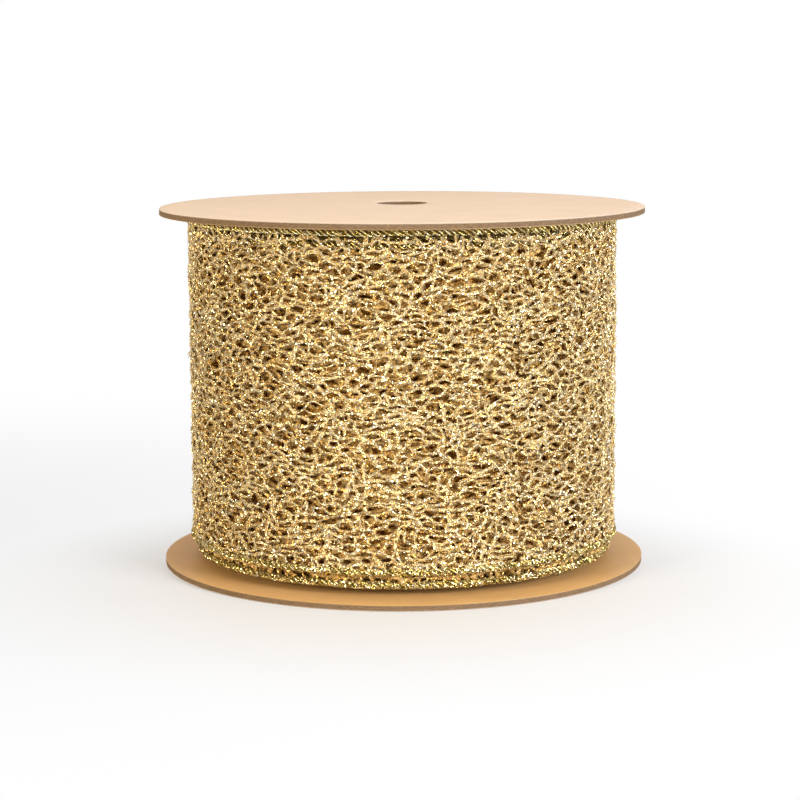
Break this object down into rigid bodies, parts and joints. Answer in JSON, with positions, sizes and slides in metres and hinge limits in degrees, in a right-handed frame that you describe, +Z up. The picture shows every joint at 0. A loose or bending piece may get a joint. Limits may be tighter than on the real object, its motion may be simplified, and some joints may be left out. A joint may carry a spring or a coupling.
{
  "type": "ribbon spool",
  "caption": "Free-standing spool of wide wire-edged gold glitter net ribbon between two kraft chipboard flanges, with a free end that lifts off the roll.",
  "frame": {"origin": "centre of the bottom flange's underside, on the surface it stands on", "axes": "+Z up along the spool's axis; +Y towards the back, where the ribbon's free end lies; +X to the right"},
  "size_m": [0.1524, 0.1524, 0.1125],
  "materials": {
    "kraft_liner": "smooth matte kraft paper",
    "chipboard": "cut grey-brown chipboard",
    "core_paperboard": "spiral-wound paperboard",
    "glue": "dried adhesive",
    "glitter_net": "open gold metallic net with glitter",
    "edge_cord": "twisted gold metallic yarn",
    "edge_wire": "thin annealed iron wire",
    "clear_tape": "clear adhesive tape"
  },
  "bodies": {
    "spool": {"bottom_flange_outer_liner": "kraft_liner", "bottom_flange_board": "chipboard", "bottom_flange_inner_liner": "kraft_liner", "top_flange_outer_liner": "kraft_liner", "top_flange_board": "chipboard", "top_flange_inner_liner": "kraft_liner", "core_inner_ply": "core_paperboard", "core_middle_ply": "core_paperboard", "core_outer_ply": "core_paperboard", "bottom_glue_ring": "glue", "top_glue_ring": "glue", "ribbon_start_tape": "clear_tape", "ribbon_net_inner_turns": "glitter_net", "lower_edge_wrap_inner_turns": "edge_cord", "lower_edge_wire_inner_turns": "edge_wire", "upper_edge_wrap_inner_turns": "edge_cord", "upper_edge_wire_inner_turns": "edge_wire", "ribbon_net_outer_turn": "glitter_net", "lower_edge_wrap_outer_turn": "edge_cord", "lower_edge_wire_outer_turn": "edge_wire", "upper_edge_wrap_outer_turn": "edge_cord", "upper_edge_wire_outer_turn": "edge_wire"},
    "ribbon_tail": {"ribbon_net_tail": "glitter_net", "lower_edge_wrap_tail": "edge_cord", "lower_edge_wire_tail": "edge_wire", "upper_edge_wrap_tail": "edge_cord", "upper_edge_wire_tail": "edge_wire", "ribbon_end_tape": "clear_tape"}
  },
  "joints": [
    {"name": "tail_lift", "type": "hinge", "parent": "spool", "child": "ribbon_tail", "pos_m": [0.03423, 0.05929, 0.05935], "axis": [0, 0, -1], "range_deg": [0, 75]}
  ]
}
